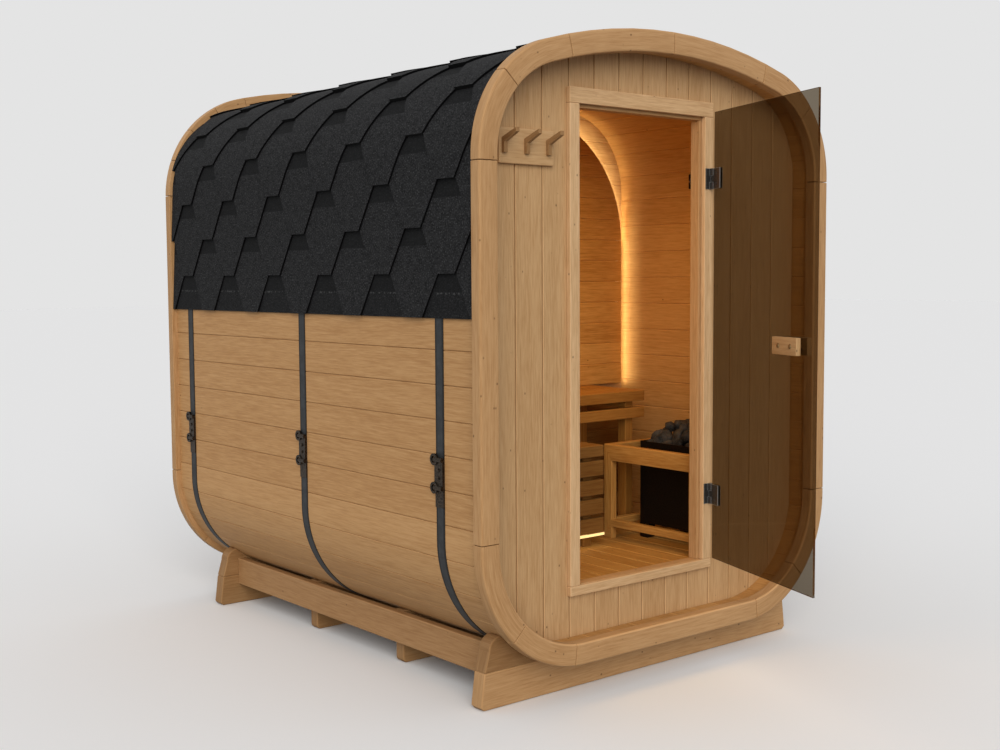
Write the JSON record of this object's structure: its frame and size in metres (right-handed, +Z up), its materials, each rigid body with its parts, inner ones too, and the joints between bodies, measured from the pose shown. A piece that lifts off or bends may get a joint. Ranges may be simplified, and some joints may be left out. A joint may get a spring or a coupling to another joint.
{
  "type": "outdoor sauna cabin",
  "caption": "Stave-built garden sauna with rounded corners, shingled roof, timber cradle and a glass door that swings out; benches and a guarded heater inside.",
  "frame": {"origin": "on the ground, under the middle of the front beam", "axes": "+Z up, the door faces -Y, +X to the right seen from the front"},
  "size_m": [1.78, 2.8338, 2.345],
  "materials": {
    "wood": "matte",
    "lit_wood": "matte",
    "shingle": "matte",
    "strap": "satin",
    "tensioner": "satin",
    "light": "satin",
    "heater": "matte",
    "gauge": "matte",
    "stone": "matte",
    "hinge": "satin",
    "glass": "polished"
  },
  "bodies": {
    "cabin": {"front_beam": "wood", "rear_beam": "wood", "front_saddles": "wood", "rear_saddles": "wood", "left_rail": "wood", "right_rail": "wood", "bearers": "wood", "left_wall": "wood", "right_wall": "wood", "floor_shell": "wood", "roof_shell": "wood", "lower_corners": "wood", "upper_corners": "wood", "front_rim": "wood", "rear_rim": "wood", "roof_covering": "shingle", "straps": "strap", "tensioners": "tensioner", "front_wall_left": "wood", "front_wall_right": "wood", "front_wall_head": "wood", "front_wall_sill": "wood", "door_casing": "wood", "door_lining": "lit_wood", "hook_board": "wood", "hooks": "wood", "rear_wall": "wood", "hot_room_back": "lit_wood", "back_panel": "lit_wood", "light_strips": "light", "floor_deck": "lit_wood", "upper_seat": "lit_wood", "upper_frame": "lit_wood", "lower_seat": "lit_wood", "lower_frame": "lit_wood", "heater_body": "heater", "heater_stones": "stone", "heater_guard": "lit_wood", "wall_gauge": "gauge", "frame_hinges": "hinge"},
    "door": {"door_glass": "glass", "door_clamps": "hinge", "door_handle": "wood"}
  },
  "joints": [
    {"name": "door_swing", "type": "hinge", "parent": "cabin", "child": "door", "pos_m": [0.3025, -0.066, 1.2], "axis": [0, 0, 1], "range_deg": [-71, 39]}
  ]
}
